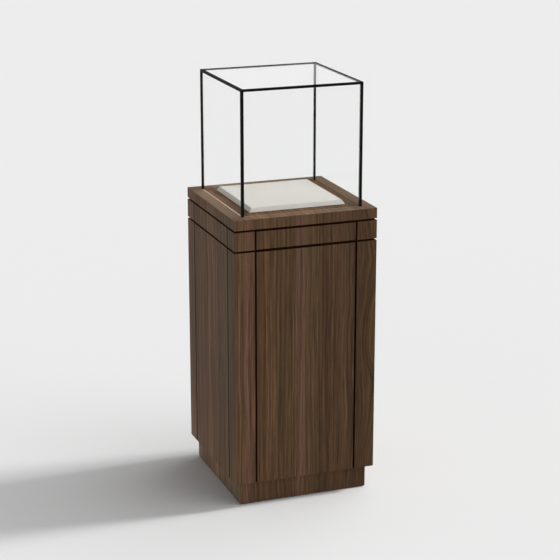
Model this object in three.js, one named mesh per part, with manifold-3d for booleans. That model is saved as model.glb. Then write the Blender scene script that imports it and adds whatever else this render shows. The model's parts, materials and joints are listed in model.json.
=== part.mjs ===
// Display plinth: a veneered cabinet on a recessed kick base with levelling feet. A shallow tray drawer and a
// thick cap sit above the cabinet, parted by shadow gaps, and a framed glass hood lifts off the cap and covers
// a loose white riser. Millimetres, +Z up. X runs along the front from left to right, Y from front to back,
// and the origin is on the floor under the middle of the plan.

import * as THREE from 'three';
import { mergeVertices } from 'three/addons/utils/BufferGeometryUtils.js';
import Module from 'manifold-3d';

const wasm = await Module();
wasm.setup();

// Case: the plan and the boards
const PLAN = 450;
const HALF = PLAN / 2;
const BOARD = 18;
const CORNER_STRIP = 62.5;
const GAP = 6;
const GAP_DEPTH = 7;
const CLEARANCE = 0.25;
const FIT = 0.3;

// Heights above the floor
const KICK_BOTTOM = 3;
const KICK_TOP = 75;
const CASE_TOP = 803;
const BAND_BOTTOM = CASE_TOP + GAP;
const BAND_TOP = 865;
const CAP_BOTTOM = BAND_TOP + GAP;
const CAP_TOP = 902;
const HOOD_TOP = 1277;

// Kick base and feet
const KICK_RECESS = 19;
const KICK_HALF = HALF - KICK_RECESS;
const FOOT_OFFSET = 165;
const FOOT_PAD_RADIUS = 16;
const FOOT_PAD_HEIGHT = 6;
const FOOT_PAD_EDGE = 1.5;
const FOOT_STEM_RADIUS = 4;
const FOOT_STEM_TOP = 90;
const FOOT_SOCKET_DEPTH = 5;

// Access door, hung on a pivot at its right edge, with play below and above it
const PLAY = 1;
const DOOR_BOTTOM = KICK_TOP + PLAY;
const DOOR_TOP = CASE_TOP - PLAY;
const PIVOT_X = 142.5;
const PIVOT_Y = -212;
const PIVOT_RADIUS = 3;
const PIVOT_SHOULDER_RADIUS = 4;
const PIVOT_REACH = 12;
const PIVOT_BORE = 13;
const PIVOT_PLATE = 2;
const PIVOT_PLATE_LENGTH = 66;
const PIVOT_PLATE_WIDTH = 10;
const PIVOT_PLATE_OVERHANG = 9;
const PIVOT_PLATE_SETBACK = 0.5;
const TOP_PIVOT_SHORTFALL = 0.5;
const BASE_FRONT = -194;

// Push latches
const LATCH_LENGTH = 40;
const LATCH_WIDTH = 14;
const LATCH_BORE = 20;
const PLUNGER_RADIUS = 3;
const PLUNGER_LENGTH = 22;
const PLUNGER_HEAD_RADIUS = 4.5;
const PLUNGER_HEAD_LENGTH = 3;
const PLUNGER_HEAD_EDGE = 1;
const PLUNGER_OUT = 6.5;
const PLUNGER_REST_GAP = 0.5;

// Tray drawer in the band
const DRAWER_BOARD = 12;
const DRAWER_HALF = 150;
const DRAWER_BACK = 153;
const DRAWER_BOX_BOTTOM = 812;
const DRAWER_BOX_TOP = 855;
const DRAWER_FLOOR_BOTTOM = 814;
const DRAWER_FLOOR = 6;
const DRAWER_TRAVEL = 280;
const RUNNER_FOOT = 2.75;
const RUNNER_GUIDE = 14;
const RUNNER_TOP = 830;
const RUNNER_LENGTH = 400;
const STOP_WIDTH = 40;
const STOP_LENGTH = 10;
const STOP_HEIGHT = 15;

// Glass hood
const HOOD_HALF = 190;
const BAR = 8;
const RAIL_HEIGHT = 7;
const GLASS = 5;
const PIN_RADIUS = 1.75;
const PIN_IN_CAP = 10;
const PIN_IN_POST = 6;

// Riser
const RISER_BASE = 303;
const RISER_FACE = 288;
const RISER_HEIGHT = 13.5;
const RISER_FOOT = 1.5;
const RISER_FOOT_INSET = 6;

const INNER_HALF = HALF - BOARD;
const PANEL_WIDTH = PLAN - 2 * (CORNER_STRIP + GAP);

// Sides of a round, and how far a bore is cut beyond the face it opens on
const ROUND = 32;
const OVERRUN = 1;

// The four sides and the four corners, each a quarter turn from the one before it
const SIDES = ['front', 'right', 'back', 'left'];
const CORNERS = ['front_left', 'front_right', 'back_right', 'back_left'];

const surface = (color, roughness, metalness = 0) =>
  new THREE.MeshStandardMaterial({ color, roughness, metalness });

const walnut = () => surface(0x5e4636, 0.5);
const kickWalnut = () => surface(0x4a3428, 0.55);
const blackEdge = () => surface(0x140c08, 0.8);
const birch = () => surface(0xc8ad84, 0.6);
const zincSteel = () => surface(0x9b9c9e, 0.35, 1);
const blackPlastic = () => surface(0x222224, 0.5);
const blackFrame = () => surface(0x1c1a19, 0.5, 0.3);
const whitePaint = () => surface(0xe9e7e1, 0.6);

function glass() {
  const material = surface(0xe8efee, 0.03);
  material.transparent = true;
  material.opacity = 0.25;
  return material;
}

const plinth = new THREE.Group();
plinth.name = 'display_plinth';

/** Adds a named mesh to a parent. */
function piece(name, geometry, material, parent = plinth) {
  const mesh = new THREE.Mesh(geometry, material);
  mesh.name = name;
  parent.add(mesh);
  return mesh;
}

/** Adds a box that reaches from its low corner to its high corner. */
function board(name, low, high, material, parent = plinth) {
  const size = high.map((value, i) => value - low[i]);
  const mesh = piece(name, new THREE.BoxGeometry(...size), material, parent);
  mesh.position.set(...low.map((value, i) => value + size[i] / 2));
  return mesh;
}

/** Adds an outline drawn in plan, raised from bottom to top. */
function prism(name, outline, bottom, top, material, parent = plinth) {
  const options = { depth: top - bottom, bevelEnabled: false, curveSegments: ROUND / 2 };
  const mesh = piece(name, new THREE.ExtrudeGeometry(outline, options), material, parent);
  mesh.position.z = bottom;
  return mesh;
}

/** A closed outline through the given corners. */
function outlineOf(points) {
  return new THREE.Shape(points.map(([x, y]) => new THREE.Vector2(x, y)));
}

/** A square outline about the origin, with round holes given as [x, y, radius]. */
function squareOutline(half, holes) {
  const outline = outlineOf([[-half, -half], [half, -half], [half, half], [-half, half]]);
  addHoles(outline, holes);
  return outline;
}

function addHoles(outline, holes) {
  for (const [x, y, radius] of holes) {
    outline.holes.push(new THREE.Path().absarc(x, y, radius, 0, 2 * Math.PI, true));
  }
}

/** A group turned about the plinth's centre line by a number of quarter turns. */
function quarterTurned(quarters, parent = plinth) {
  const group = new THREE.Group();
  group.rotation.z = quarters * Math.PI / 2;
  parent.add(group);
  return group;
}

/** A closed geometry as a manifold solid. */
function solidOf(geometry) {
  const bare = geometry.clone();
  bare.deleteAttribute('normal');
  bare.deleteAttribute('uv');
  const merged = mergeVertices(bare);
  return new wasm.Manifold(new wasm.Mesh({
    numProp: 3,
    vertProperties: new Float32Array(merged.attributes.position.array),
    triVerts: new Uint32Array(merged.index.array),
  }));
}

/** A manifold solid as a geometry with flat faces. */
function geometryOf(solid) {
  const mesh = solid.getMesh();
  const indexed = new THREE.BufferGeometry();
  indexed.setAttribute('position', new THREE.BufferAttribute(mesh.vertProperties, 3));
  indexed.setIndex(new THREE.BufferAttribute(mesh.triVerts, 1));
  const geometry = indexed.toNonIndexed();
  geometry.computeVertexNormals();
  return geometry;
}

/** Cuts each tool geometry out of a mesh, in the mesh's own coordinates. */
function cut(mesh, tools) {
  const cleared = tools.reduce((solid, tool) => solid.subtract(solidOf(tool)), solidOf(mesh.geometry));
  mesh.geometry = geometryOf(cleared);
}

/** An upright cylinder between two heights. */
function uprightCylinder(x, y, radius, bottom, top, segments = ROUND) {
  const geometry = new THREE.CylinderGeometry(radius, radius, top - bottom, segments);
  return geometry.rotateX(Math.PI / 2).translate(x, y, (bottom + top) / 2);
}

// ---- Kick base ----

/** Four mitred boards set back under the case. */
function buildKick() {
  const inner = KICK_HALF - BOARD;
  const mitred = outlineOf([
    [-KICK_HALF, -KICK_HALF],
    [KICK_HALF, -KICK_HALF],
    [inner, -inner],
    [-inner, -inner],
  ]);
  SIDES.forEach((side, quarters) => {
    prism(`kick_${side}`, mitred, KICK_BOTTOM, KICK_TOP, kickWalnut(), quarterTurned(quarters));
  });
}

/** The cabinet floor, held back from the door, with a threaded hole for each foot. */
function buildBaseBoard() {
  const outline = outlineOf([
    [-INNER_HALF, BASE_FRONT],
    [INNER_HALF, BASE_FRONT],
    [INNER_HALF, INNER_HALF],
    [-INNER_HALF, INNER_HALF],
  ]);
  const radius = FOOT_STEM_RADIUS + FIT;
  addHoles(outline, [-1, 1].flatMap((sx) => [-1, 1].map((sy) => [sx * FOOT_OFFSET, sy * FOOT_OFFSET, radius])));
  prism('base_board', outline, KICK_TOP, KICK_TOP + BOARD, birch());
}

/** One levelling foot: a round pad on a stem with a hexagonal key socket in its top. */
function footGeometry() {
  const profile = [
    [0, 0],
    [FOOT_PAD_RADIUS - FOOT_PAD_EDGE, 0],
    [FOOT_PAD_RADIUS, FOOT_PAD_EDGE],
    [FOOT_PAD_RADIUS, FOOT_PAD_HEIGHT - FOOT_PAD_EDGE],
    [FOOT_PAD_RADIUS - FOOT_PAD_EDGE, FOOT_PAD_HEIGHT],
    [FOOT_STEM_RADIUS, FOOT_PAD_HEIGHT],
    [FOOT_STEM_RADIUS, FOOT_STEM_TOP],
    [0, FOOT_STEM_TOP],
  ].map(([radius, height]) => new THREE.Vector2(radius, height));
  return new THREE.LatheGeometry(profile, ROUND).rotateX(Math.PI / 2);
}

function buildFeet() {
  const socketRadius = FOOT_STEM_RADIUS / 2;
  CORNERS.forEach((corner, quarters) => {
    const foot = piece(`levelling_foot_${corner}`, footGeometry(), zincSteel(), quarterTurned(quarters));
    const socketBottom = FOOT_STEM_TOP - FOOT_SOCKET_DEPTH;
    cut(foot, [uprightCylinder(0, 0, socketRadius, socketBottom, FOOT_STEM_TOP + OVERRUN, 6)]);
    foot.position.set(-FOOT_OFFSET, -FOOT_OFFSET, 0);
  });
}

// ---- Case and band ----

/** Plan of a corner piece: two legs, each with a lip that backs the shadow gap beside it. */
function cornerOutline(lipOnSecondLeg = true) {
  const lipEnd = CORNER_STRIP + GAP - CLEARANCE;
  const legEnd = (lipped) => (lipped
    ? [[CORNER_STRIP, 0], [CORNER_STRIP, GAP_DEPTH], [lipEnd, GAP_DEPTH], [lipEnd, BOARD]]
    : [[CORNER_STRIP, 0], [CORNER_STRIP, BOARD]]);
  const first = legEnd(true);
  const second = legEnd(lipOnSecondLeg).map(([along, across]) => [across, along]).reverse();
  const corners = [[0, 0], ...first, [BOARD, BOARD], ...second];
  return outlineOf(corners.map(([x, y]) => [x - HALF, y - HALF]));
}

/** Corner posts. The front right one has no lip beside the door, which swings through that space. */
function buildCornerPosts() {
  CORNERS.forEach((corner, quarters) => {
    const outline = cornerOutline(corner !== 'front_right');
    prism(`corner_post_${corner}`, outline, KICK_TOP, CASE_TOP, walnut(), quarterTurned(quarters));
    prism(`band_corner_${corner}`, cornerOutline(), BAND_BOTTOM, BAND_TOP, walnut(), quarterTurned(quarters));
  });
}

/** Fixed centre panels of the left, right and back faces, in the case and in the band. */
function buildPanels() {
  const half = PANEL_WIDTH / 2;
  SIDES.forEach((side, quarters) => {
    if (side === 'front') {
      return;
    }
    const turned = quarterTurned(quarters);
    board(`case_panel_${side}`, [-half, -HALF, KICK_TOP], [half, -INNER_HALF, CASE_TOP], walnut(), turned);
    board(`band_panel_${side}`, [-half, -HALF, BAND_BOTTOM], [half, -INNER_HALF, BAND_TOP], walnut(), turned);
  });
}

/** The two recessed boards whose edges show as the dark horizontal gaps, and the cap above them. */
function buildDeck() {
  const recessed = HALF - GAP_DEPTH;
  const pivotHole = [PIVOT_X, PIVOT_Y, PIVOT_RADIUS + FIT];
  prism('divider_board', squareOutline(recessed, [pivotHole]), CASE_TOP, BAND_BOTTOM, blackEdge());
  prism('sub_top', squareOutline(recessed, []), BAND_TOP, CAP_BOTTOM, blackEdge());

  const cap = board('cap', [-HALF, -HALF, CAP_BOTTOM], [HALF, HALF, CAP_TOP], walnut());
  const face = (CAP_TOP - CAP_BOTTOM) / 2;
  const seat = HOOD_HALF - BAR / 2;
  const bottom = face - PIN_IN_CAP - FIT;
  cut(cap, [-seat, seat].flatMap((x) => [-seat, seat].map((y) => (
    uprightCylinder(x, y, PIN_RADIUS + FIT, bottom, face + OVERRUN)
  ))));
}

// ---- Access door ----

/** The front centre panel, with a blind pivot hole in its bottom and top edges. */
function buildDoor() {
  const half = PANEL_WIDTH / 2;
  const door = board('access_door', [-half, -HALF, DOOR_BOTTOM], [half, -INNER_HALF, DOOR_TOP], walnut());
  const { x, y, z } = door.position;
  const radius = PIVOT_RADIUS + FIT;
  cut(door, [
    uprightCylinder(PIVOT_X - x, PIVOT_Y - y, radius, DOOR_BOTTOM - OVERRUN - z, DOOR_BOTTOM + PIVOT_BORE - z),
    uprightCylinder(PIVOT_X - x, PIVOT_Y - y, radius, DOOR_TOP - PIVOT_BORE - z, DOOR_TOP + OVERRUN - z),
  ]);
}

/** The bottom pivot is a plate under the right corner post with a shouldered pin, the top one a plain pin. */
function buildPivots() {
  const shoulderTop = DOOR_BOTTOM - CLEARANCE - KICK_TOP;
  const pinTop = DOOR_BOTTOM + PIVOT_REACH - KICK_TOP;
  const root = PIVOT_PLATE / 2;
  const profile = [
    [0, -root],
    [PIVOT_SHOULDER_RADIUS, -root],
    [PIVOT_SHOULDER_RADIUS, shoulderTop],
    [PIVOT_RADIUS, shoulderTop],
    [PIVOT_RADIUS, pinTop],
    [0, pinTop],
  ].map(([radius, height]) => new THREE.Vector2(radius, height));
  const pin = new THREE.LatheGeometry(profile, ROUND).rotateX(Math.PI / 2);

  const plate = new THREE.BoxGeometry(PIVOT_PLATE_LENGTH, PIVOT_PLATE_WIDTH, PIVOT_PLATE);
  plate.translate(PIVOT_PLATE_LENGTH / 2 - PIVOT_PLATE_OVERHANG, PIVOT_PLATE_SETBACK, -PIVOT_PLATE / 2);
  const pivot = piece('door_bottom_pivot', geometryOf(solidOf(plate).add(solidOf(pin))), blackFrame());
  pivot.position.set(PIVOT_X, PIVOT_Y, KICK_TOP);

  const topPinBottom = DOOR_TOP - PIVOT_REACH;
  const topPin = uprightCylinder(0, 0, PIVOT_RADIUS, topPinBottom, BAND_BOTTOM - TOP_PIVOT_SHORTFALL);
  piece('door_top_pivot', topPin, zincSteel()).position.set(PIVOT_X, PIVOT_Y, 0);
}

/** A push latch: a housing with a blind bore, and a sprung plunger whose head faces the front. */
function buildPushLatch(prefix, x, tipY, z) {
  const half = LATCH_WIDTH / 2;
  const latch = new THREE.Group();
  latch.position.set(x, tipY, z);
  plinth.add(latch);

  const housing = board(
    `${prefix}_latch_housing`,
    [-half, PLUNGER_OUT, -half],
    [half, PLUNGER_OUT + LATCH_LENGTH, half],
    blackPlastic(),
    latch,
  );
  const drill = new THREE.CylinderGeometry(PLUNGER_RADIUS + FIT, PLUNGER_RADIUS + FIT, 2 * LATCH_BORE, ROUND);
  cut(housing, [drill.translate(0, -LATCH_LENGTH / 2, 0)]);

  const profile = [
    [0, 0],
    [PLUNGER_HEAD_RADIUS - PLUNGER_HEAD_EDGE, 0],
    [PLUNGER_HEAD_RADIUS, PLUNGER_HEAD_EDGE],
    [PLUNGER_HEAD_RADIUS, PLUNGER_HEAD_LENGTH],
    [PLUNGER_RADIUS, PLUNGER_HEAD_LENGTH],
    [PLUNGER_RADIUS, PLUNGER_LENGTH],
    [0, PLUNGER_LENGTH],
  ].map(([radius, along]) => new THREE.Vector2(radius, along));
  piece(`${prefix}_latch_plunger`, new THREE.LatheGeometry(profile, ROUND), blackPlastic(), latch);
}

/** The door's latch hangs under the divider at the free edge, and the drawer's stands behind the drawer. */
function buildLatches() {
  const half = LATCH_WIDTH / 2;
  const doorLatchX = -(PANEL_WIDTH / 2 - LATCH_WIDTH);
  buildPushLatch('door', doorLatchX, -INNER_HALF + PLUNGER_REST_GAP, CASE_TOP - half);
  buildPushLatch('drawer', 0, DRAWER_BACK + PLUNGER_REST_GAP, BAND_BOTTOM + half);
}

// ---- Tray drawer ----

function buildDrawer() {
  const frontHalf = PANEL_WIDTH / 2;
  const inner = DRAWER_HALF - DRAWER_BOARD;
  const floorTop = DRAWER_FLOOR_BOTTOM + DRAWER_FLOOR;
  const backFront = DRAWER_BACK - DRAWER_BOARD;
  const frontLow = [-frontHalf, -HALF, BAND_BOTTOM + PLAY];
  board('drawer_front', frontLow, [frontHalf, -INNER_HALF, BAND_TOP - PLAY], walnut());
  for (const [side, low, high] of [['left', -DRAWER_HALF, -inner], ['right', inner, DRAWER_HALF]]) {
    const lowCorner = [low, -INNER_HALF, DRAWER_BOX_BOTTOM];
    board(`drawer_side_${side}`, lowCorner, [high, DRAWER_BACK, DRAWER_BOX_TOP], birch());
  }
  board('drawer_back', [-inner, backFront, DRAWER_BOX_BOTTOM], [inner, DRAWER_BACK, DRAWER_BOX_TOP], birch());
  board('drawer_bottom', [-inner, -INNER_HALF, DRAWER_FLOOR_BOTTOM], [inner, backFront, floorTop], birch());
}

/** An L-section runner on each side: its foot carries the drawer side and its upright guides it. */
function buildRunners() {
  const inner = DRAWER_HALF - DRAWER_BOARD;
  const guide = DRAWER_HALF + 2 * CLEARANCE;
  const outer = guide + RUNNER_GUIDE;
  const height = RUNNER_TOP - BAND_BOTTOM;
  const section = outlineOf([
    [inner, 0],
    [outer, 0],
    [outer, height],
    [guide, height],
    [guide, RUNNER_FOOT],
    [inner, RUNNER_FOOT],
  ]);
  for (const [side, turn] of [['right', 0], ['left', Math.PI]]) {
    const group = new THREE.Group();
    group.position.z = BAND_BOTTOM;
    group.rotation.z = turn;
    plinth.add(group);
    const geometry = new THREE.ExtrudeGeometry(section, { depth: RUNNER_LENGTH, bevelEnabled: false });
    geometry.rotateX(Math.PI / 2).translate(0, RUNNER_LENGTH / 2, 0);
    piece(`drawer_runner_${side}`, geometry, birch(), group);
  }
}

/** A block under the sub-top that catches the drawer's back before the drawer can be pulled out. */
function buildDrawerStop() {
  const rear = DRAWER_BACK - DRAWER_BOARD - DRAWER_TRAVEL - PLUNGER_REST_GAP;
  const low = [-STOP_WIDTH / 2, rear - STOP_LENGTH, BAND_TOP - STOP_HEIGHT];
  board('drawer_stop', low, [STOP_WIDTH / 2, rear, BAND_TOP], birch());
}

// ---- Glass hood ----

/** Square posts with a blind pin seat in their feet, mitred top rails, and the pins that stand in the cap. */
function buildHoodFrame() {
  const railBottom = HOOD_TOP - RAIL_HEIGHT;
  const inner = HOOD_HALF - BAR;
  const seat = HOOD_HALF - BAR / 2;
  const mitred = outlineOf([[-HOOD_HALF, -HOOD_HALF], [HOOD_HALF, -HOOD_HALF], [inner, -inner], [-inner, -inner]]);

  CORNERS.forEach((corner, quarters) => {
    const turned = quarterTurned(quarters);
    const low = [-HOOD_HALF, -HOOD_HALF, CAP_TOP];
    const post = board(`hood_post_${corner}`, low, [-inner, -inner, railBottom], blackFrame(), turned);
    const foot = CAP_TOP - post.position.z;
    cut(post, [uprightCylinder(0, 0, PIN_RADIUS + FIT, foot - OVERRUN, foot + PIN_IN_POST + FIT)]);

    const pin = uprightCylinder(-seat, -seat, PIN_RADIUS, CAP_TOP - PIN_IN_CAP, CAP_TOP + PIN_IN_POST);
    piece(`hood_pin_${corner}`, pin, zincSteel(), turned);
  });

  SIDES.forEach((side, quarters) => {
    prism(`hood_rail_${side}`, mitred, railBottom, HOOD_TOP, blackFrame(), quarterTurned(quarters));
  });
}

/** Four side panes between the posts and a top pane inside the rails, each with a thin joint all round. */
function buildPanes() {
  const half = HOOD_HALF - BAR - CLEARANCE;
  const inset = (BAR - GLASS) / 2;
  const outer = HOOD_HALF - inset;
  const bottom = CAP_TOP + 2 * CLEARANCE;
  const top = HOOD_TOP - RAIL_HEIGHT - CLEARANCE;
  SIDES.forEach((side, quarters) => {
    board(`pane_${side}`, [-half, -outer, bottom], [half, GLASS - outer, top], glass(), quarterTurned(quarters));
  });
  const paneTop = HOOD_TOP - 2 * CLEARANCE;
  board('pane_top', [-half, -half, paneTop - GLASS], [half, half, paneTop], glass());
}

// ---- Riser ----

/** A block with sloping sides on a recessed foot, which lifts it off the cap by a thin shadow line. */
function buildRiser() {
  const corner = Math.SQRT1_2;
  const overlap = 1;
  const bodyHeight = RISER_HEIGHT - RISER_FOOT;
  const body = new THREE.CylinderGeometry(RISER_FACE * corner, RISER_BASE * corner, bodyHeight, 4);
  body.rotateY(Math.PI / 4).rotateX(Math.PI / 2).translate(0, 0, RISER_FOOT + bodyHeight / 2);
  const footWidth = RISER_BASE - 2 * RISER_FOOT_INSET;
  const foot = new THREE.BoxGeometry(footWidth, footWidth, RISER_FOOT + overlap);
  foot.translate(0, 0, (RISER_FOOT + overlap) / 2);
  piece('riser', geometryOf(solidOf(body).add(solidOf(foot))), whitePaint()).position.z = CAP_TOP;
}

buildKick();
buildBaseBoard();
buildFeet();
buildCornerPosts();
buildPanels();
buildDeck();
buildDoor();
buildPivots();
buildLatches();
buildDrawer();
buildRunners();
buildDrawerStop();
buildHoodFrame();
buildPanes();
buildRiser();

export default plinth;
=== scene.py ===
"""A walnut display plinth with a glass hood: the CAD model with finishes, fittings and a studio."""

import json
import math

import bmesh
import bpy
from mathutils import Matrix, Vector


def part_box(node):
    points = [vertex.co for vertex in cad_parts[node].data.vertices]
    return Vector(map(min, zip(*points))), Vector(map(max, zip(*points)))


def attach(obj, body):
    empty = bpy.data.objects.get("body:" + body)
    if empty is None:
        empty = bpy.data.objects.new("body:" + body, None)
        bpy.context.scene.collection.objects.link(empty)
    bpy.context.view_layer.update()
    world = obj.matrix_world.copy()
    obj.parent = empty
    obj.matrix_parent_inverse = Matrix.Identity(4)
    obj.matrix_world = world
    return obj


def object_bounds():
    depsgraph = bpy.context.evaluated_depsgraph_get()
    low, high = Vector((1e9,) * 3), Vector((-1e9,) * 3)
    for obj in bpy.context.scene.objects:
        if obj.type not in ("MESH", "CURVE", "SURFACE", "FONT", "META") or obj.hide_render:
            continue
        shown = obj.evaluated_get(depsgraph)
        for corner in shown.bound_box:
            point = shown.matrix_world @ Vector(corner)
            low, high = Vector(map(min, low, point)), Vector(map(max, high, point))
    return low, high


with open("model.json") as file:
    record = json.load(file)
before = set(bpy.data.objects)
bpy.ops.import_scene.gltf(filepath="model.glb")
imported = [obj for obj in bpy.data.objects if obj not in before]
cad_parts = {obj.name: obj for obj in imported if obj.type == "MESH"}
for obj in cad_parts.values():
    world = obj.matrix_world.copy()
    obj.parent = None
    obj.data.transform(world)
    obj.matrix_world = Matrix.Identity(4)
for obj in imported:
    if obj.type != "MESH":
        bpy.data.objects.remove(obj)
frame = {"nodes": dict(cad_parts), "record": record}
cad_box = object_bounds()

MM = 0.001

# The whole object's corners, half the plan's width, and the thickness of the door's board
LOW, HIGH = cad_box
HALF_PLAN = HIGH.x
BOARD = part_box("access_door")[1].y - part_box("access_door")[0].y

# How far the hood's glass stands in from the case's faces, and its thickness
HOOD_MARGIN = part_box("pane_front")[0].y - LOW.y
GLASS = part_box("pane_front")[1].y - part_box("pane_front")[0].y


# ---- Node tree helpers ----


def linear(code):
    """An sRGB hex code as a linear RGBA colour."""
    values = [int(code[i : i + 2], 16) / 255 for i in (0, 2, 4)]
    return [v / 12.92 if v <= 0.04045 else ((v + 0.055) / 1.055) ** 2.4 for v in values] + [1.0]


class Graph:
    """A material's node tree, built with one short call per node."""

    def __init__(self, name):
        self.material = bpy.data.materials.new(name)
        self.material.use_nodes = True
        self.tree = self.material.node_tree
        self.tree.nodes.clear()

    def feed(self, socket, value):
        if isinstance(value, bpy.types.NodeSocket):
            self.tree.links.new(value, socket)
        else:
            socket.default_value = value

    def node(self, kind, inputs=None, **settings):
        made = self.tree.nodes.new("ShaderNode" + kind)
        for key, value in settings.items():
            setattr(made, key, value)
        for key, value in (inputs or {}).items():
            self.feed(made.inputs[key], value)
        return made

    def coordinates(self):
        """The object's own coordinates in metres, and the direction that its surface faces."""
        outputs = self.node("TexCoord").outputs
        return outputs["Object"], outputs["Normal"]

    def math(self, operation, *values, clamp=False):
        made = self.node("Math", operation=operation, use_clamp=clamp)
        for i, value in enumerate(values):
            self.feed(made.inputs[i], value)
        return made.outputs[0]

    def times(self, a, b):
        """The product of two vectors or colours, channel by channel."""
        return self.node("VectorMath", {0: a, 1: b}, operation="MULTIPLY").outputs[0]

    def combine(self, x, y, z):
        return self.node("CombineXYZ", {0: x, 1: y, 2: z}).outputs[0]

    def split(self, vector):
        return self.node("SeparateXYZ", {0: vector}).outputs

    def noise(self, vector, detail=2.0, roughness=0.5, distortion=0.0):
        settings = {"Vector": vector, "Scale": 1.0, "Detail": detail, "Roughness": roughness}
        return self.node("TexNoise", {**settings, "Distortion": distortion}).outputs["Fac"]

    def ramp(self, factor, stops):
        """A colour ramp through (place, hex code) stops."""
        made = self.node("ValToRGB", {"Fac": factor})
        ramp = made.color_ramp
        while len(ramp.elements) < len(stops):
            ramp.elements.new(0.5)
        for element, (place, code) in zip(ramp.elements, stops):
            element.position = place
            element.color = linear(code)
        return made.outputs["Color"]

    def mix(self, factor, a, b):
        """The colour a where factor is 0 and b where it is 1."""
        made = self.node("Mix", data_type="RGBA")
        for name, value in (("Factor_Float", factor), ("A_Color", a), ("B_Color", b)):
            self.feed(next(s for s in made.inputs if s.identifier == name), value)
        return next(s for s in made.outputs if s.identifier == "Result_Color")

    def choose(self, factor, a, b):
        """The number a where factor is 0 and b where it is 1."""
        return self.node("Mix", {0: factor, 2: a, 3: b}, data_type="FLOAT").outputs[0]

    def spread(self, value, low, high):
        """A 0 to 1 value mapped onto low to high."""
        return self.math("MULTIPLY_ADD", value, high - low, low)

    def bump(self, height, strength, distance):
        inputs = {"Height": height, "Strength": strength, "Distance": distance}
        return self.node("Bump", inputs).outputs["Normal"]

    def principled(self, **inputs):
        named = {key.replace("_", " "): value for key, value in inputs.items()}
        return self.node("BsdfPrincipled", named).outputs["BSDF"]

    def finish(self, surface):
        self.node("OutputMaterial", {"Surface": surface})
        return self.material


# ---- Walnut veneer ----

# Specular level of the matt lacquer
WOOD_SHINE = 0.08

# A surface faces along an axis where that part of its normal is longer than this
FACING = 0.6

# Colour bands of the veneer across the front and back, from the front's left edge at 0 to its right at 1
FRONT_BANDS = [
    (0.00, "57422f"),
    (0.06, "5c4432"),
    (0.088, "63483a"),
    (0.15, "4e3928"),
    (0.22, "59412d"),
    (0.30, "513d2a"),
    (0.40, "503b28"),
    (0.463, "5c4436"),
    (0.50, "5a4430"),
    (0.56, "523e2a"),
    (0.63, "493525"),
    (0.74, "523c2a"),
    (0.80, "503b2a"),
    (0.88, "453223"),
    (0.95, "4d3926"),
    (1.00, "513c27"),
]

# The same across the top
TOP_BANDS = [
    (0.00, "453427"),
    (0.06, "473425"),
    (0.11, "5b402a"),
    (0.17, "5d432f"),
    (0.50, "5c4531"),
    (0.80, "56402e"),
    (0.90, "4b3726"),
    (1.00, "483523"),
]

# The same across the two sides, from the front edge at 0 to the back edge at 1
SIDE_BANDS = [
    (0.00, "59452f"),
    (0.12, "554434"),
    (0.20, "5b4734"),
    (0.35, "594333"),
    (0.50, "674e39"),
    (0.62, "5f4634"),
    (0.80, "5a4434"),
    (0.92, "664e3d"),
    (1.00, "644e3d"),
]

# Layers of the figure: cycles per millimetre across and along the grain, detail, and strength of its tones
FIGURE_LAYERS = {
    "broad": (0.05, 0.0012, 1.0, 0.1),
    "ribs": (0.145, 0.0012, 1.0, 0.95),
    "lines": (0.42, 0.0045, 2.0, 1.0),
    "flecks": (0.2, 0.012, 2.0, 0.4),
    "fibres": (1.7, 0.02, 2.0, 0.25),
}
LAYER_ROUGHNESS = 0.55

# Pores: cycles per millimetre across and along the grain, the noise above which one opens, and its tone
PORE_ACROSS, PORE_ALONG = 2.6, 0.09
PORE_THRESHOLD, PORE_TONE = 0.66, 0.6

# What shifts the figure from one face to the next
SIDE_SHIFT, BACK_SHIFT = 7.3, 13.7

# Slow wandering of the streaks: cycles per millimetre, and millimetres for each unit of a veneer's wave
WAVE_ACROSS, WAVE_ALONG = 0.012, 0.004
WAVE_SWING = 4

# Leaning growth rings: cycles per millimetre, and how far they swing in millimetres
SWEEP_ACROSS, SWEEP_ALONG, SWEEP_SHIFT = 0.004, 0.0045, 2.7
RING_SWING = 55.0

# On the front and back they start at this place and lean fully at the right edge, along a curve of this power
RINGS_START, RINGS_POWER = 0.4, 3.0

# On the sides and the top they lean less, and only in zones where the noise is high
ZONE_ACROSS, ZONE_SLICE, ZONE_SHIFT = 0.011, 0.4, 5.1
ZONE_GAIN, ZONE_OFFSET = 5.0, -2.2
ZONE_SHARE = 0.25

# Lightness of the sides, and contrast of the figure on the sides and the top
SIDE_LIGHT = 0.98
SIDE_CONTRAST = 0.85
TOP_CONTRAST = 1.3

# Painted light: the left face is lighter and greyer towards the floor. The heights where that starts and
# ends, how much lighter it gets, and what red, green and blue each gain besides, close to the floor
LIGHT_PAINT_TOP, LIGHT_PAINT_BOTTOM = 0.42, 0.04
LIGHT_PAINT_GAIN, LIGHT_PAINT_POWER = 0.62, 2.0
GREY_PAINT_GAIN, GREY_PAINT_POWER = (0.16, 0.44, 0.75), 6.0

# Painted sheen: the top outside the hood is mixed a share of the way towards a pale colour, lighter than the
# top under the glass
SHEEN_PAINT_COLOUR, SHEEN_PAINT_SHARE = "bca287", 0.14

# Painted shade on the edges of the veneered boards, where the gaps lie in shade, and how far it stays from
# their faces, in millimetres
GAP_SHADE_COLOUR = "301404"
GAP_EDGE = 0.5


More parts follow.
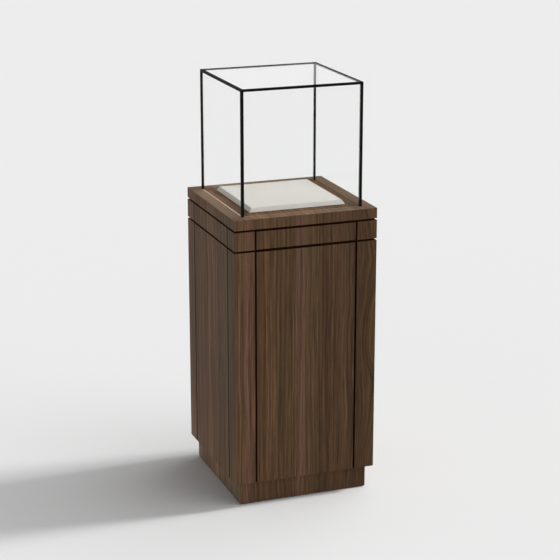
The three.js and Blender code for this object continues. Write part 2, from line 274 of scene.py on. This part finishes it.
def veneer_coordinates(g):
    """Where a point lies on the veneer.

    Gives its place across and along the grain in millimetres, a number that differs between faces, whether it
    is on a side face and on a level face, and how deep it is inside the case's outer faces, in millimetres.
    The grain is upright on the four faces and runs from front to back on top."""
    point, normal = g.coordinates()
    x, y, z = g.split(point)
    normal_x, normal_y, normal_z = g.split(normal)
    on_side = g.math("GREATER_THAN", g.math("ABSOLUTE", normal_x), FACING)
    on_level = g.math("GREATER_THAN", g.math("ABSOLUTE", normal_z), FACING)
    across = g.math("DIVIDE", g.choose(on_side, x, y), MM)
    along = g.math("DIVIDE", g.choose(on_level, z, y), MM)
    on_back = g.math("MAXIMUM", normal_y, 0.0)
    face = g.math("MULTIPLY_ADD", normal_x, SIDE_SHIFT, g.math("MULTIPLY", on_back, BACK_SHIFT))
    outward = g.math("MAXIMUM", g.math("ABSOLUTE", x), g.math("ABSOLUTE", y))
    depth = g.math("DIVIDE", g.math("SUBTRACT", HALF_PLAN, outward), MM)
    return across, along, face, on_side, on_level, depth


def stretched_noise(g, across, across_scale, along, along_scale, seed, detail, roughness=0.5):
    """Noise with its own scale across and along the grain."""
    x = g.math("MULTIPLY", across, across_scale)
    y = g.math("MULTIPLY", along, along_scale)
    return g.noise(g.combine(x, y, seed), detail, roughness)


def ring_lean(g, across, along, face, place, in_zones):
    """How far the leaning growth rings shift the grain, in millimetres.

    In_zones is 1 where they lean in zones, and 0 where they lean towards the right edge."""
    x = g.math("MULTIPLY", across, ZONE_ACROSS)
    zone = g.noise(g.combine(x, ZONE_SLICE, g.math("ADD", face, ZONE_SHIFT)), 0.0)
    zone = g.math("MULTIPLY_ADD", zone, ZONE_GAIN, ZONE_OFFSET, clamp=True)
    right = g.math("DIVIDE", g.math("SUBTRACT", place, RINGS_START), 1 - RINGS_START, clamp=True)
    right = g.math("POWER", right, RINGS_POWER)
    amount = g.choose(in_zones, right, g.math("MULTIPLY", zone, ZONE_SHARE))
    shift = g.math("ADD", face, SWEEP_SHIFT)
    sweep = stretched_noise(g, across, SWEEP_ACROSS, along, SWEEP_ALONG, shift, 1.0)
    return g.math("MULTIPLY", g.spread(sweep, -RING_SWING, RING_SWING), amount)


def painted_foot_light(g):
    """Red, green and blue factors that paint light onto the left face, making it lighter and greyer towards
    the floor.
    """
    point, normal = g.coordinates()
    on_left = g.math("LESS_THAN", g.split(normal)[0], -FACING)
    drop = g.math("SUBTRACT", LIGHT_PAINT_TOP, g.split(point)[2])
    lowness = g.math("DIVIDE", drop, LIGHT_PAINT_TOP - LIGHT_PAINT_BOTTOM, clamp=True)
    painted_light = g.math("MULTIPLY", g.math("POWER", lowness, LIGHT_PAINT_POWER), on_left)
    painted_grey = g.math("MULTIPLY", g.math("POWER", lowness, GREY_PAINT_POWER), on_left)
    even = g.math("MULTIPLY_ADD", painted_light, LIGHT_PAINT_GAIN, 1.0)
    return g.combine(*(g.math("MULTIPLY_ADD", painted_grey, gain, even) for gain in GREY_PAINT_GAIN))


def walnut(name, wave=1.2, light=1.0, contrast=0.93, upright=True):
    """Dark walnut veneer: broad bands, streaks, fine grain lines and short pores along the grain.

    Wave is how far the streaks wander. Light and contrast are for the front and back. An upright board has
    painted shade on its level edges and on the edges that face each other across a gap."""
    g = Graph(name)
    across, along, face, on_side, on_level, depth = veneer_coordinates(g)

    slow = stretched_noise(g, across, WAVE_ACROSS, along, WAVE_ALONG, face, 2.0)
    straight = g.math("ADD", across, g.spread(slow, -wave * WAVE_SWING, wave * WAVE_SWING))
    place = g.math("MULTIPLY_ADD", straight, MM / (2 * HALF_PLAN), 0.5)
    bands = g.mix(on_side, g.ramp(place, FRONT_BANDS), g.ramp(place, SIDE_BANDS))
    bands = g.mix(on_level, bands, g.ramp(place, TOP_BANDS))

    lean = ring_lean(g, across, along, face, place, g.math("MAXIMUM", on_side, on_level))
    bent = g.math("ADD", straight, lean)

    def grain(across_scale, along_scale, detail):
        return stretched_noise(g, bent, across_scale, along, along_scale, face, detail, LAYER_ROUGHNESS)

    pores = g.math("GREATER_THAN", grain(PORE_ACROSS, PORE_ALONG, 1.0), PORE_THRESHOLD)
    figure = g.spread(pores, 1.0, PORE_TONE)
    layers = {}
    for layer, (across_scale, along_scale, detail, tone) in FIGURE_LAYERS.items():
        layers[layer] = grain(across_scale, along_scale, detail)
        figure = g.math("MULTIPLY", g.spread(layers[layer], 1 - tone, 1 + tone), figure)
    strength = g.choose(on_level, g.choose(on_side, contrast, SIDE_CONTRAST), TOP_CONTRAST)
    figure = g.math("POWER", figure, strength)
    shade = g.math("MULTIPLY", figure, g.choose(on_side, light, SIDE_LIGHT))
    # Painted light: the last factors make the left face lighter and greyer towards the floor
    colour = g.times(g.times(bands, g.combine(shade, shade, shade)), painted_foot_light(g))

    # Painted sheen on the level faces outside the hood's glass
    painted_sheen = g.math("MULTIPLY", on_level, g.math("LESS_THAN", depth, HOOD_MARGIN / MM))
    colour = g.mix(g.math("MULTIPLY", painted_sheen, SHEEN_PAINT_SHARE), colour, linear(SHEEN_PAINT_COLOUR))
    if upright:
        # Painted shade on the edges that face into the gaps, and on the level edges
        inside = g.math("LESS_THAN", depth, BOARD / MM - GAP_EDGE)
        painted_gap_shade = g.math("MULTIPLY", g.math("GREATER_THAN", depth, GAP_EDGE), inside)
        colour = g.mix(g.math("MAXIMUM", painted_gap_shade, on_level), colour, linear(GAP_SHADE_COLOUR))

    height = g.math("SUBTRACT", layers["fibres"], g.math("MULTIPLY", pores, 0.8))
    return g.finish(g.principled(
        Base_Color=colour,
        Roughness=g.spread(layers["lines"], 0.6, 0.76),
        IOR=1.5,
        Specular_IOR_Level=WOOD_SHINE,
        Normal=g.bump(height, 0.25, 0.15 * MM),
    ))


# ---- Other finishes ----
# Noise is scaled in cycles per metre here.

# Thickness of one ply of the birch plywood, and the colours through a pair of plies and their glue lines
PLY = 1.4 * MM
PLY_PAIR = [
    (0.0, "7d5d39"),
    (0.05, "caa878"),
    (0.45, "c29e6c"),
    (0.5, "7d5d39"),
    (0.55, "9a754a"),
]

# The hood's glass, its faint shadow, and the low index that stands for the coating
GLASS_TINT = (0.99, 0.995, 0.99, 1)
GLASS_SHADOW = (0.97, 0.975, 0.97, 1)
COATED_IOR = 1.06

# Sealant under the hood's panes, and the bead along each pane's outer foot: sealant on the right and back,
# and a painted highlight on the left and front
SEALANT = "4a3526"
BEADS_AND_HIGHLIGHTS = {"left": "f0ece6", "front": "c0a58c", "right": SEALANT, "back": SEALANT}


def black_board():
    """The black-stained edges of the boards that sit back in the horizontal gaps."""
    g = Graph("black_board")
    point, _ = g.coordinates()
    grain = g.noise(g.times(point, (900, 900, 3000)), 3.0)
    return g.finish(g.principled(
        Base_Color=g.mix(grain, linear("200c03"), linear("2c1306")),
        Roughness=0.85,
        Specular_IOR_Level=WOOD_SHINE,
        Normal=g.bump(grain, 0.2, 0.2 * MM),
    ))


def birch(name, grain_axis, ply_axis=None):
    """Sealed birch: long faint figure along the grain axis, and plies across the ply axis on its edges."""
    g = Graph(name)
    point, normal = g.coordinates()

    def stretched(across, along):
        return g.times(point, [along if axis == grain_axis else across for axis in range(3)])

    figure = g.noise(stretched(240, 18), 4.0, 0.6, 0.6)
    fine = g.noise(stretched(1600, 90), 2.0)
    colour = g.mix(figure, linear("b99a6e"), linear("d9c199"))
    colour = g.mix(g.math("MULTIPLY", fine, 0.3), colour, linear("a3835a"))
    if ply_axis is not None:
        layer = g.math("FRACT", g.math("DIVIDE", g.split(point)[ply_axis], 2 * PLY))
        on_edge = g.math("LESS_THAN", g.math("ABSOLUTE", g.split(normal)[ply_axis]), 0.5)
        colour = g.mix(on_edge, colour, g.ramp(layer, PLY_PAIR))
    return g.finish(g.principled(Base_Color=colour, Roughness=0.55, Normal=g.bump(fine, 0.2, 0.1 * MM)))


def powder_coat():
    """Matt black powder coat with a fine orange-peel texture."""
    g = Graph("black_frame")
    point, _ = g.coordinates()
    peel = g.noise(g.times(point, (1500, 1500, 1500)), 2.0)
    patches = g.noise(g.times(point, (30, 30, 30)), 2.0)
    return g.finish(g.principled(
        Base_Color=g.mix(patches, linear("0b0908"), linear("120f0d")),
        Roughness=g.spread(patches, 0.55, 0.65),
        Specular_IOR_Level=0.055,
        Normal=g.bump(peel, 0.2, 0.1 * MM),
    ))


def clear_glass(name="clear_glass", bead_and_highlight=None):
    """Clear glass with a low-reflection coating on both faces, as on museum cases.

    With a bead colour, the pane's level edges are bedded: brown sealant inside, and the bead along the outer
    half of the pane's thickness. On the left and front panes that bead is a painted highlight."""
    g = Graph(name)
    glass = g.principled(Base_Color=GLASS_TINT, Roughness=0.0, IOR=COATED_IOR, Transmission_Weight=1.0)
    open_air = g.node("BsdfTransparent", {"Color": GLASS_SHADOW}).outputs[0]
    shadow = g.node("LightPath").outputs["Is Shadow Ray"]
    pane = g.node("MixShader", {0: shadow, 1: glass, 2: open_air}).outputs[0]
    if bead_and_highlight:
        point, normal = g.coordinates()
        x, y, _ = g.split(point)
        outward = g.math("MAXIMUM", g.math("ABSOLUTE", x), g.math("ABSOLUTE", y))
        outer = g.math("GREATER_THAN", outward, HALF_PLAN - HOOD_MARGIN - GLASS / 2)
        # On the left and front panes the outer bead is a painted highlight
        sealant = g.node("BsdfDiffuse", {"Color": g.mix(outer, linear(SEALANT), linear(bead_and_highlight))}).outputs[0]
        on_level = g.math("GREATER_THAN", g.math("ABSOLUTE", g.split(normal)[2]), 0.5)
        pane = g.node("MixShader", {0: on_level, 1: pane, 2: sealant}).outputs[0]
    return g.finish(pane)


def white_paint():
    """Off-white sprayed lacquer."""
    g = Graph("white_paint")
    point, _ = g.coordinates()
    peel = g.noise(g.times(point, (700, 700, 700)), 2.0)
    cloud = g.noise(g.times(point, (12, 12, 12)), 3.0)
    return g.finish(g.principled(
        Base_Color=g.mix(cloud, linear("bab7b1"), linear("c2bfb9")),
        Roughness=g.spread(cloud, 0.6, 0.7),
        Specular_IOR_Level=0.2,
        Normal=g.bump(peel, 0.12, 0.05 * MM),
    ))


def zinc_steel():
    """Zinc-plated steel with faint mottling."""
    g = Graph("zinc_steel")
    point, _ = g.coordinates()
    mottle = g.noise(g.times(point, (220, 220, 220)), 4.0)
    colour = g.mix(mottle, linear("a3a4a6"), linear("c2c3c4"))
    return g.finish(g.principled(Base_Color=colour, Metallic=1.0, Roughness=g.spread(mottle, 0.28, 0.42)))


def black_plastic():
    """Fine-textured black moulding."""
    g = Graph("black_plastic")
    point, _ = g.coordinates()
    grit = g.noise(g.times(point, (2500, 2500, 2500)), 2.0)
    colour = g.mix(grit, linear("1c1c1e"), linear("2a2a2c"))
    return g.finish(g.principled(Base_Color=colour, Roughness=0.5, Normal=g.bump(grit, 0.25, 0.1 * MM)))


# ---- Finishes on the CAD nodes ----

# Birch boards whose plies show: the axis of the grain and the axis through the plies
BIRCH_PLY_NODES = {
    "drawer_side_left": (1, 0),
    "drawer_side_right": (1, 0),
    "drawer_back": (0, 1),
    "drawer_bottom": (0, 2),
    "base_board": (1, 2),
}

# Width of the small arris on each finish's edges, in millimetres, and the sharpest angle that is left alone
ARRIS = {
    "walnut": 0.5,
    "kick_walnut": 0.5,
    "birch": 0.4,
    "black_frame": 0.5,
    "white_paint": 0.7,
    "clear_glass": 0.3,
}
ARRIS_ANGLE = math.radians(40)


def soften(piece, width, flat_faces=False):
    """Takes a piece's sharp edges off. With flat faces, its large faces keep their own shading."""
    bevel = piece.modifiers.new("arris", "BEVEL")
    bevel.width = width
    bevel.segments = 2
    bevel.limit_method = "ANGLE"
    bevel.angle_limit = ARRIS_ANGLE
    bevel.harden_normals = flat_faces


def paint_nodes():
    """Gives every CAD node the finish of its record slot, and a small arris."""
    finishes = {
        "walnut": walnut("walnut"),
        "kick_walnut": walnut("kick_walnut", wave=4.0, upright=False),
        "black_board": black_board(),
        "birch": birch("birch", grain_axis=1),
        "zinc_steel": zinc_steel(),
        "black_plastic": black_plastic(),
        "black_frame": powder_coat(),
        "clear_glass": clear_glass(),
        "white_paint": white_paint(),
    }
    special = {"cap": walnut("walnut_cap", light=1.15, contrast=0.8, upright=False)}
    for name, (grain_axis, ply_axis) in BIRCH_PLY_NODES.items():
        special[name] = birch(f"birch_ply_{grain_axis}{ply_axis}", grain_axis, ply_axis)
    for side, bead_and_highlight in BEADS_AND_HIGHLIGHTS.items():
        special[f"pane_{side}"] = clear_glass(f"glass_{side}", bead_and_highlight)
    for entry in frame["record"]["subparts"]:
        node = frame["nodes"][entry["node"]]
        slot = entry["material_slot"]
        node.data.materials.clear()
        node.data.materials.append(special.get(entry["node"], finishes[slot]))
        if slot in ARRIS:
            soften(node, ARRIS[slot] * MM, flat_faces=True)
    return finishes


# ---- Small fittings ----

# Screw heads: the profile as shares of the head's radius and height, then the height and the cross recess as
# shares of the radius, and how far the recess narrows
SCREW_SIDES = 24
SCREW_PROFILE = ((1.0, 0.0), (1.0, 0.35), (0.93, 0.7), (0.78, 1.0))
SCREW_HEIGHT = 0.6
RECESS_DEPTH, RECESS_ARM, RECESS_BLADE = 0.4, 0.55, 0.14
RECESS_TAPER = 0.8

# Each screw's radius, and where the screws stand along the part that they hold
LATCH_SCREW_RADIUS, LATCH_SCREW_PLACES = 3.2 * MM, (0.2, 0.8)
PIVOT_SCREW_RADIUS, PIVOT_SCREW_PLACES = 2.6 * MM, (0.5, 0.85)

# Strike discs: they stay a margin clear of the edges of the board that they sit on
DISC_RADIUS = 6 * MM
DISC_THICKNESS = 0.3 * MM
DISC_RIM = DISC_THICKNESS * 0.6
DISC_EYE = 0.4 * MM
DISC_MARGIN = 0.2 * MM

# Sides of the other turned pieces
TURNED_SIDES = 40

# Levelling feet: the pad and stem of the CAD nodes, and the hexagon and thread on them
PAD_HEIGHT = 6 * MM
STEM_RADIUS = 4 * MM
HEX_RADIUS = 7.5 * MM
HEX_HEIGHT = 4 * MM
HEX_ARRIS = 0.4 * MM
THREAD_PITCH = 1.25 * MM
THREAD_STEPS = 20
THREAD_ROOT = STEM_RADIUS - 0.1 * MM
THREAD_CREST = STEM_RADIUS + 0.22 * MM
THREAD_HALF_WIDTH = THREAD_PITCH * 0.42
THREAD_START = 5 * MM
THREAD_END = 1 * MM

# Threaded sockets under the base board, a hair clear of it: bore, and barrel and flange with bevelled edges
SOCKET_BORE = STEM_RADIUS + 0.35 * MM
SOCKET_GAP = 0.05 * MM
SOCKET_BEVEL = 0.5 * MM
BARREL_RADIUS, BARREL_DEPTH = 7 * MM, 5 * MM
FLANGE_RADIUS, FLANGE_DEPTH = 13 * MM, 1.6 * MM

# Glide tapes on the drawer runners, just below the drawer's sides
TAPE_WIDTH, TAPE_THICKNESS = 9 * MM, 0.15 * MM
TAPE_INSET, TAPE_END_GAP = 1.5 * MM, 2 * MM
TAPE_CLEARANCE = 0.1 * MM


def centre(node):
    low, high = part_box(node)
    return (low + high) / 2


def add_piece(name, vertices, faces, body, finish):
    """A mesh piece that moves with a body and takes its finish from a record slot."""
    mesh = bpy.data.meshes.new(name)
    mesh.from_pydata(vertices, [], faces)
    mesh.materials.append(finish)
    piece = bpy.data.objects.new(name, mesh)
    bpy.context.scene.collection.objects.link(piece)
    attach(piece, body)
    return piece


def turned(profile, sides, origin, axis=(0, 0, 1)):
    """Vertices and faces of a ring-shaped profile of (radius, height) points turned about an axis."""
    turn = Vector((0, 0, 1)).rotation_difference(Vector(axis))
    vertices, faces = [], []
    count = len(profile)
    for i in range(sides):
        angle = 2 * math.pi * i / sides
        for radius, height in profile:
            point = Vector((radius * math.cos(angle), radius * math.sin(angle), height))
            vertices.append(turn @ point + Vector(origin))
    for i in range(sides):
        here, there = i * count, (i + 1) % sides * count
        for j in range(count):
            k = (j + 1) % count
            faces.append((here + j, there + j, there + k, here + k))
    return vertices, faces


def cross_outline(arm, blade):
    """The twelve corners of a cross with four arms."""
    corners = []
    for quarter in range(4):
        angle = quarter * math.pi / 2
        for x, y in ((arm, -blade), (arm, blade), (blade, blade)):
            turned_x = x * math.cos(angle) - y * math.sin(angle)
            turned_y = x * math.sin(angle) + y * math.cos(angle)
            corners.append((turned_x, turned_y))
    return corners


def add_screw(name, origin, axis, radius, body, finish):
    """A pan-head screw: a domed head with a cross recess, seen from along its axis."""
    head = bmesh.new()
    height, depth = radius * SCREW_HEIGHT, radius * RECESS_DEPTH
    rings = []
    for share, level in SCREW_PROFILE:
        ring = []
        for i in range(SCREW_SIDES):
            angle = 2 * math.pi * i / SCREW_SIDES
            x, y = radius * share * math.cos(angle), radius * share * math.sin(angle)
            ring.append(head.verts.new((x, y, height * level)))
        rings.append(ring)
    for low, high in zip(rings, rings[1:]):
        for i in range(SCREW_SIDES):
            k = (i + 1) % SCREW_SIDES
            head.faces.new((low[i], low[k], high[k], high[i]))
    head.faces.new(list(reversed(rings[0])))

    cross = cross_outline(radius * RECESS_ARM, radius * RECESS_BLADE)
    lip = [head.verts.new((x, y, height)) for x, y in cross]
    sunk = [head.verts.new((x * RECESS_TAPER, y * RECESS_TAPER, height - depth)) for x, y in cross]
    loops = []
    for ring in (rings[-1], lip):
        for i, vertex in enumerate(ring):
            other = ring[(i + 1) % len(ring)]
            loops.append(head.edges.get((vertex, other)) or head.edges.new((vertex, other)))
    bmesh.ops.triangle_fill(head, edges=loops, use_beauty=True)
    for i in range(len(lip)):
        k = (i + 1) % len(lip)
        head.faces.new((lip[i], lip[k], sunk[k], sunk[i]))
    head.faces.new(sunk)
    bmesh.ops.recalc_face_normals(head, faces=head.faces)
    turn = Vector((0, 0, 1)).rotation_difference(Vector(axis)).to_matrix().to_4x4()
    bmesh.ops.transform(head, matrix=Matrix.Translation(origin) @ turn, verts=head.verts)
    piece = add_piece(name, [], [], body, finish)
    head.to_mesh(piece.data)
    head.free()


def add_latch_screws(finish):
    """Two screws hold each latch housing: up into the divider, or down into it."""
    for prefix, up in (("door", -1), ("drawer", 1)):
        low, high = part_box(f"{prefix}_latch_housing")
        surface = high.z if up > 0 else low.z
        for i, share in enumerate(LATCH_SCREW_PLACES):
            place = (centre(f"{prefix}_latch_housing").x, low.y + share * (high.y - low.y), surface)
            add_screw(f"{prefix}_latch_screw_{i + 1}", place, (0, 0, up), LATCH_SCREW_RADIUS, "case", finish)


def add_pivot_screws(finish):
    """Two screws hold the bottom pivot's plate up against the corner post."""
    low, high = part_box("door_bottom_pivot")
    middle = (low.y + high.y) / 2
    for i, share in enumerate(PIVOT_SCREW_PLACES):
        place = (low.x + share * (high.x - low.x), middle, low.z)
        add_screw(f"pivot_screw_{i + 1}", place, (0, 0, -1), PIVOT_SCREW_RADIUS, "case", finish)


def add_strike_discs(finish):
    """A thin steel disc on the back of the door and of the drawer, where each plunger bears."""
    for prefix, body, node in (("door", "door", "access_door"), ("drawer", "drawer", "drawer_back")):
        plunger = centre(f"{prefix}_latch_plunger")
        low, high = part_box(node)
        radius = min(DISC_RADIUS, plunger.z - low.z - DISC_MARGIN, high.z - plunger.z - DISC_MARGIN)
        profile = [
            (DISC_EYE, 0),
            (radius, 0),
            (radius, DISC_RIM),
            (radius - DISC_THICKNESS, DISC_THICKNESS),
            (DISC_EYE, DISC_THICKNESS),
        ]
        vertices, faces = turned(profile, TURNED_SIDES, (plunger.x, high.y, plunger.z), (0, 1, 0))
        add_piece(f"{prefix}_strike_disc", vertices, faces, body, finish)


def add_thread(name, middle, bottom, top, body, finish):
    """A helical ridge that stands a little proud of the foot's stem."""
    steps = round((top - bottom - 2 * THREAD_HALF_WIDTH) / THREAD_PITCH * THREAD_STEPS)
    ridge = ((THREAD_ROOT, -THREAD_HALF_WIDTH), (THREAD_CREST, 0.0), (THREAD_ROOT, THREAD_HALF_WIDTH))
    vertices, faces = [], []
    for i in range(steps + 1):
        angle = 2 * math.pi * i / THREAD_STEPS
        z = bottom + THREAD_HALF_WIDTH + THREAD_PITCH * i / THREAD_STEPS
        for radius, offset in ridge:
            x, y = middle.x + radius * math.cos(angle), middle.y + radius * math.sin(angle)
            vertices.append((x, y, z + offset))
        if i:
            a, b = 3 * (i - 1), 3 * i
            for j in range(3):
                k = (j + 1) % 3
                faces.append((a + j, b + j, b + k, a + k))
    faces.append((2, 1, 0))
    last = 3 * steps
    faces.append((last, last + 1, last + 2))
    add_piece(name, vertices, faces, body, finish)


def add_feet_details(finish):
    """A thread and a hexagon on each foot's stem, and a flanged threaded socket under the base board."""
    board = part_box("base_board")[0].z
    hexagon = [(STEM_RADIUS, 0), (HEX_RADIUS, 0), (HEX_RADIUS, HEX_HEIGHT), (STEM_RADIUS, HEX_HEIGHT)]
    socket = [
        (SOCKET_BORE, -BARREL_DEPTH),
        (BARREL_RADIUS - SOCKET_BEVEL, -BARREL_DEPTH),
        (BARREL_RADIUS, SOCKET_BEVEL - BARREL_DEPTH),
        (BARREL_RADIUS, -FLANGE_DEPTH),
        (FLANGE_RADIUS - SOCKET_BEVEL, -FLANGE_DEPTH),
        (FLANGE_RADIUS, SOCKET_BEVEL - FLANGE_DEPTH),
        (FLANGE_RADIUS, -SOCKET_GAP),
        (SOCKET_BORE, -SOCKET_GAP),
    ]
    for corner in ("front_left", "front_right", "back_right", "back_left"):
        low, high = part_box(f"levelling_foot_{corner}")
        middle = (low + high) / 2
        pad_top = low.z + PAD_HEIGHT
        body = f"foot_{corner}"
        add_thread(f"foot_thread_{corner}", middle, pad_top + THREAD_START, high.z - THREAD_END, body, finish)

        vertices, faces = turned(hexagon, 6, (middle.x, middle.y, pad_top))
        nut = add_piece(f"foot_hexagon_{corner}", vertices, faces, body, finish)
        soften(nut, HEX_ARRIS)

        vertices, faces = turned(socket, TURNED_SIDES, (middle.x, middle.y, board))
        add_piece(f"foot_socket_{corner}", vertices, faces, "case", finish)


def add_glide_tapes(finish):
    """A strip of slippery black tape on the foot of each drawer runner."""
    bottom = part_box("drawer_side_left")[0].z - TAPE_CLEARANCE - TAPE_THICKNESS
    for side, sign in (("left", -1), ("right", 1)):
        low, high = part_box(f"drawer_runner_{side}")
        start = min(abs(low.x), abs(high.x)) + TAPE_INSET
        x = sorted((sign * start, sign * (start + TAPE_WIDTH)))
        y = (low.y + TAPE_END_GAP, high.y - TAPE_END_GAP)
        z = (bottom, bottom + TAPE_THICKNESS)
        vertices = [(a, b, c) for a in x for b in y for c in z]
        faces = [(0, 1, 3, 2), (4, 6, 7, 5), (0, 4, 5, 1), (2, 3, 7, 6), (0, 2, 6, 4), (1, 5, 7, 3)]
        add_piece(f"glide_tape_{side}", vertices, faces, "case", finish)


def add_fittings(finishes):
    steel, plastic = finishes["zinc_steel"], finishes["black_plastic"]
    add_latch_screws(steel)
    add_pivot_screws(steel)
    add_strike_discs(steel)
    add_feet_details(steel)
    add_glide_tapes(plastic)


# ---- Studio ----

# The camera looks at the middle of the object. Angles are in degrees, distances in metres, the lens in mm.
CAMERA_AZIMUTH, CAMERA_ELEVATION = -20.42, 16.63
CAMERA_DISTANCE = 5.25
CAMERA_LENS = 109.0
CAMERA_REACH = 100.0

# The two lights: directions, strengths, and the angles that they spread over
KEY_AZIMUTH, KEY_ELEVATION = 87.4, 36.0
KEY_STRENGTH, KEY_SOFTNESS = 2.12, 10.0
FILL_AZIMUTH, FILL_ELEVATION = 82.0, 47.0
FILL_STRENGTH, FILL_SOFTNESS = 1.72, 90.0

# Brightness of the surroundings near the horizon and overhead, and the heights between which it fades, given
# as sines of the elevation
HORIZON, ZENITH = 0.95, 0.05
HORIZON_TOP, ZENITH_BOTTOM = 0.3, 0.65

FLOOR_SIZE = 60.0
FLOOR_COLOUR = (0.8, 0.8, 0.8, 1)


def from_angles(azimuth, elevation):
    """The direction that a view from this azimuth and elevation comes from."""
    a, e = math.radians(azimuth), math.radians(elevation)
    return Vector((math.sin(a) * math.cos(e), -math.cos(a) * math.cos(e), math.sin(e)))


def add_camera():
    camera = bpy.data.objects.new("camera", bpy.data.cameras.new("camera"))
    bpy.context.scene.collection.objects.link(camera)
    camera.data.lens = CAMERA_LENS
    camera.data.clip_end = CAMERA_REACH
    back = from_angles(CAMERA_AZIMUTH, CAMERA_ELEVATION)
    camera.location = (LOW + HIGH) / 2 + back * CAMERA_DISTANCE
    camera.rotation_euler = (-back).to_track_quat("-Z", "Y").to_euler()
    bpy.context.scene.camera = camera


def add_floor():
    mesh = bpy.data.meshes.new("floor")
    half = FLOOR_SIZE / 2
    corners = [(-half, -half, 0), (half, -half, 0), (half, half, 0), (-half, half, 0)]
    mesh.from_pydata(corners, [], [(0, 1, 2, 3)])
    floor = bpy.data.objects.new("floor", mesh)
    bpy.context.scene.collection.objects.link(floor)
    g = Graph("floor")
    mesh.materials.append(g.finish(g.node("BsdfDiffuse", {"Color": FLOOR_COLOUR}).outputs[0]))


def add_sun(name, azimuth, elevation, strength, softness):
    lamp = bpy.data.objects.new(name, bpy.data.lights.new(name, "SUN"))
    lamp.data.energy = strength
    lamp.data.angle = math.radians(softness)
    lamp.rotation_euler = from_angles(azimuth, elevation).to_track_quat("Z", "Y").to_euler()
    bpy.context.scene.collection.objects.link(lamp)


def add_light():
    """A studio, bright at the horizon and dark overhead, with a key light and a broad fill on the right."""
    world = bpy.data.worlds.new("studio")
    world.use_nodes = True
    tree = world.node_tree
    direction = tree.nodes.new("ShaderNodeSeparateXYZ")
    tree.links.new(tree.nodes.new("ShaderNodeTexCoord").outputs["Generated"], direction.inputs[0])
    fade = tree.nodes.new("ShaderNodeMapRange")
    fade.interpolation_type = "SMOOTHSTEP"
    tree.links.new(direction.outputs["Z"], fade.inputs["Value"])
    fade.inputs["From Min"].default_value = HORIZON_TOP
    fade.inputs["From Max"].default_value = ZENITH_BOTTOM
    fade.inputs["To Min"].default_value = HORIZON
    fade.inputs["To Max"].default_value = ZENITH
    background = tree.nodes["Background"]
    background.inputs["Color"].default_value = (1, 1, 1, 1)
    tree.links.new(fade.outputs["Result"], background.inputs["Strength"])
    bpy.context.scene.world = world

    add_sun("key", KEY_AZIMUTH, KEY_ELEVATION, KEY_STRENGTH, KEY_SOFTNESS)
    add_sun("fill", FILL_AZIMUTH, FILL_ELEVATION, FILL_STRENGTH, FILL_SOFTNESS)


def set_view():
    settings = bpy.context.scene.view_settings
    settings.view_transform = "Standard"
    settings.look = "None"
    settings.exposure = 0.0
    settings.gamma = 1.0


add_fittings(paint_nodes())
add_camera()
add_floor()
add_light()
set_view()
